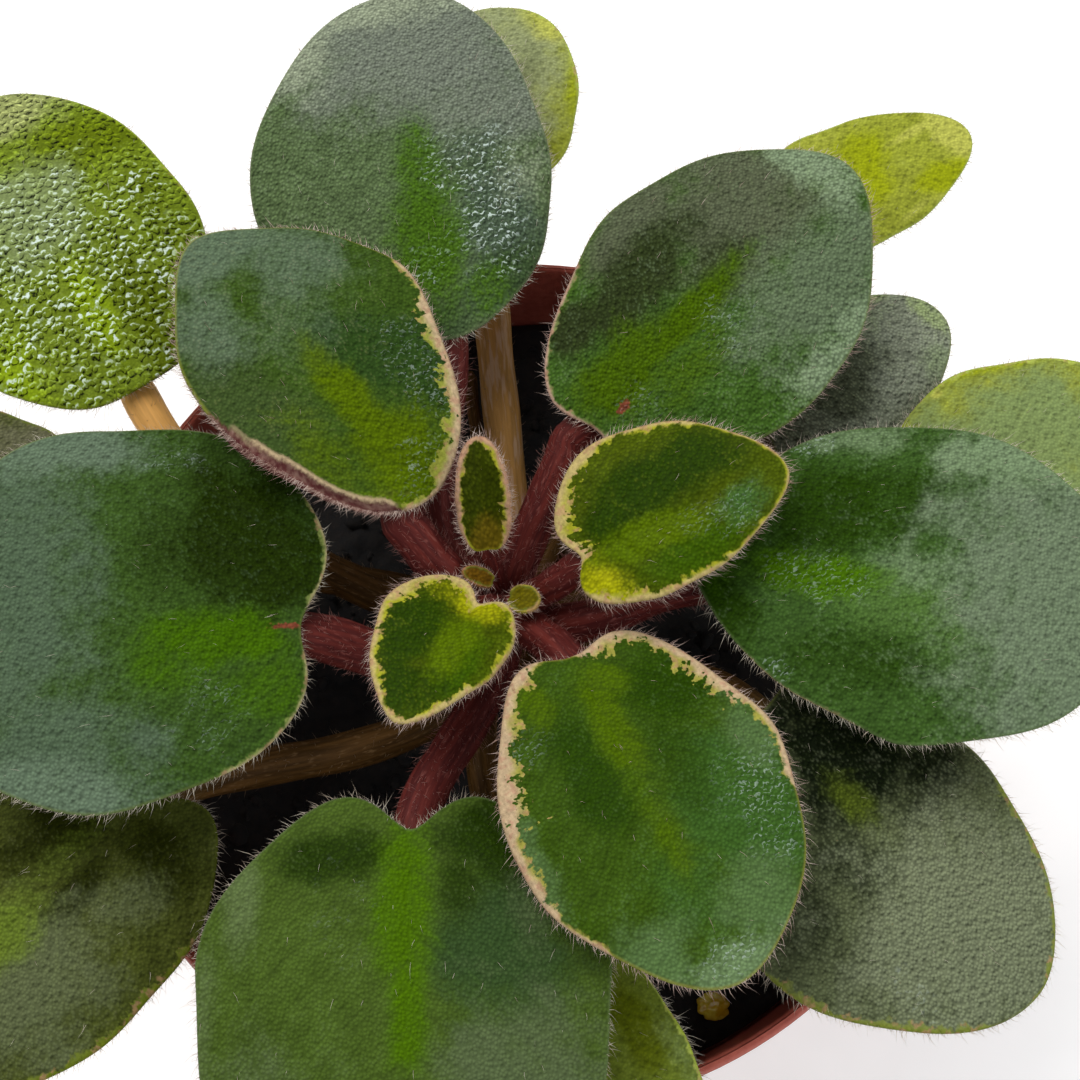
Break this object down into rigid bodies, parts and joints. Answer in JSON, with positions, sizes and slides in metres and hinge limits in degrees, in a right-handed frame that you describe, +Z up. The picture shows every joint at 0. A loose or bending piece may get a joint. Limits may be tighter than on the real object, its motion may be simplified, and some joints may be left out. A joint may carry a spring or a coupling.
{
  "type": "potted african violet",
  "caption": "Potted african violet without flowers: a rosette of broad, hairy, partly cream-edged leaves on red stalks in a round terracotta-coloured plastic pot of soil.",
  "frame": {"origin": "middle of the pot's underside, on the surface it stands on", "axes": "+Z up, +X east and +Y north, as the leaves are named; the picture was taken from the south, above"},
  "size_m": [0.1558, 0.1521, 0.1145],
  "materials": {
    "pot_plastic": "satin",
    "soil": "rough",
    "grain_amber": "gloss",
    "stalk_red": "hairy",
    "stalk_brown": "hairy",
    "leaf_cream_edged": "satin",
    "leaf_deep_green": "satin",
    "leaf_grey_green": "satin",
    "leaf_lime": "satin",
    "leaf_olive": "satin"
  },
  "bodies": {
    "root": {"pot": "pot_plastic", "soil": "soil", "soil_grain_amber": "grain_amber", "stalks_old": "stalk_brown", "stalks_young": "stalk_red", "blade_bud_west": "leaf_olive", "blade_bud_east": "leaf_olive", "blade_inner_north": "leaf_cream_edged", "blade_inner_southwest": "leaf_cream_edged", "blade_inner_east": "leaf_cream_edged", "blade_middle_southeast": "leaf_cream_edged", "blade_middle_northwest": "leaf_deep_green", "blade_middle_northeast": "leaf_deep_green", "blade_outer_east": "leaf_grey_green", "blade_outer_west": "leaf_grey_green", "blade_outer_south": "leaf_grey_green", "blade_outer_north": "leaf_grey_green", "blade_low_southeast": "leaf_grey_green", "blade_low_southwest": "leaf_olive", "blade_low_northwest": "leaf_lime", "blade_low_north": "leaf_lime", "blade_low_northeast": "leaf_lime", "blade_low_east_small": "leaf_grey_green", "blade_low_east": "leaf_lime", "blade_low_west": "leaf_olive", "blade_low_south": "leaf_lime"}
  },
  "joints": []
}
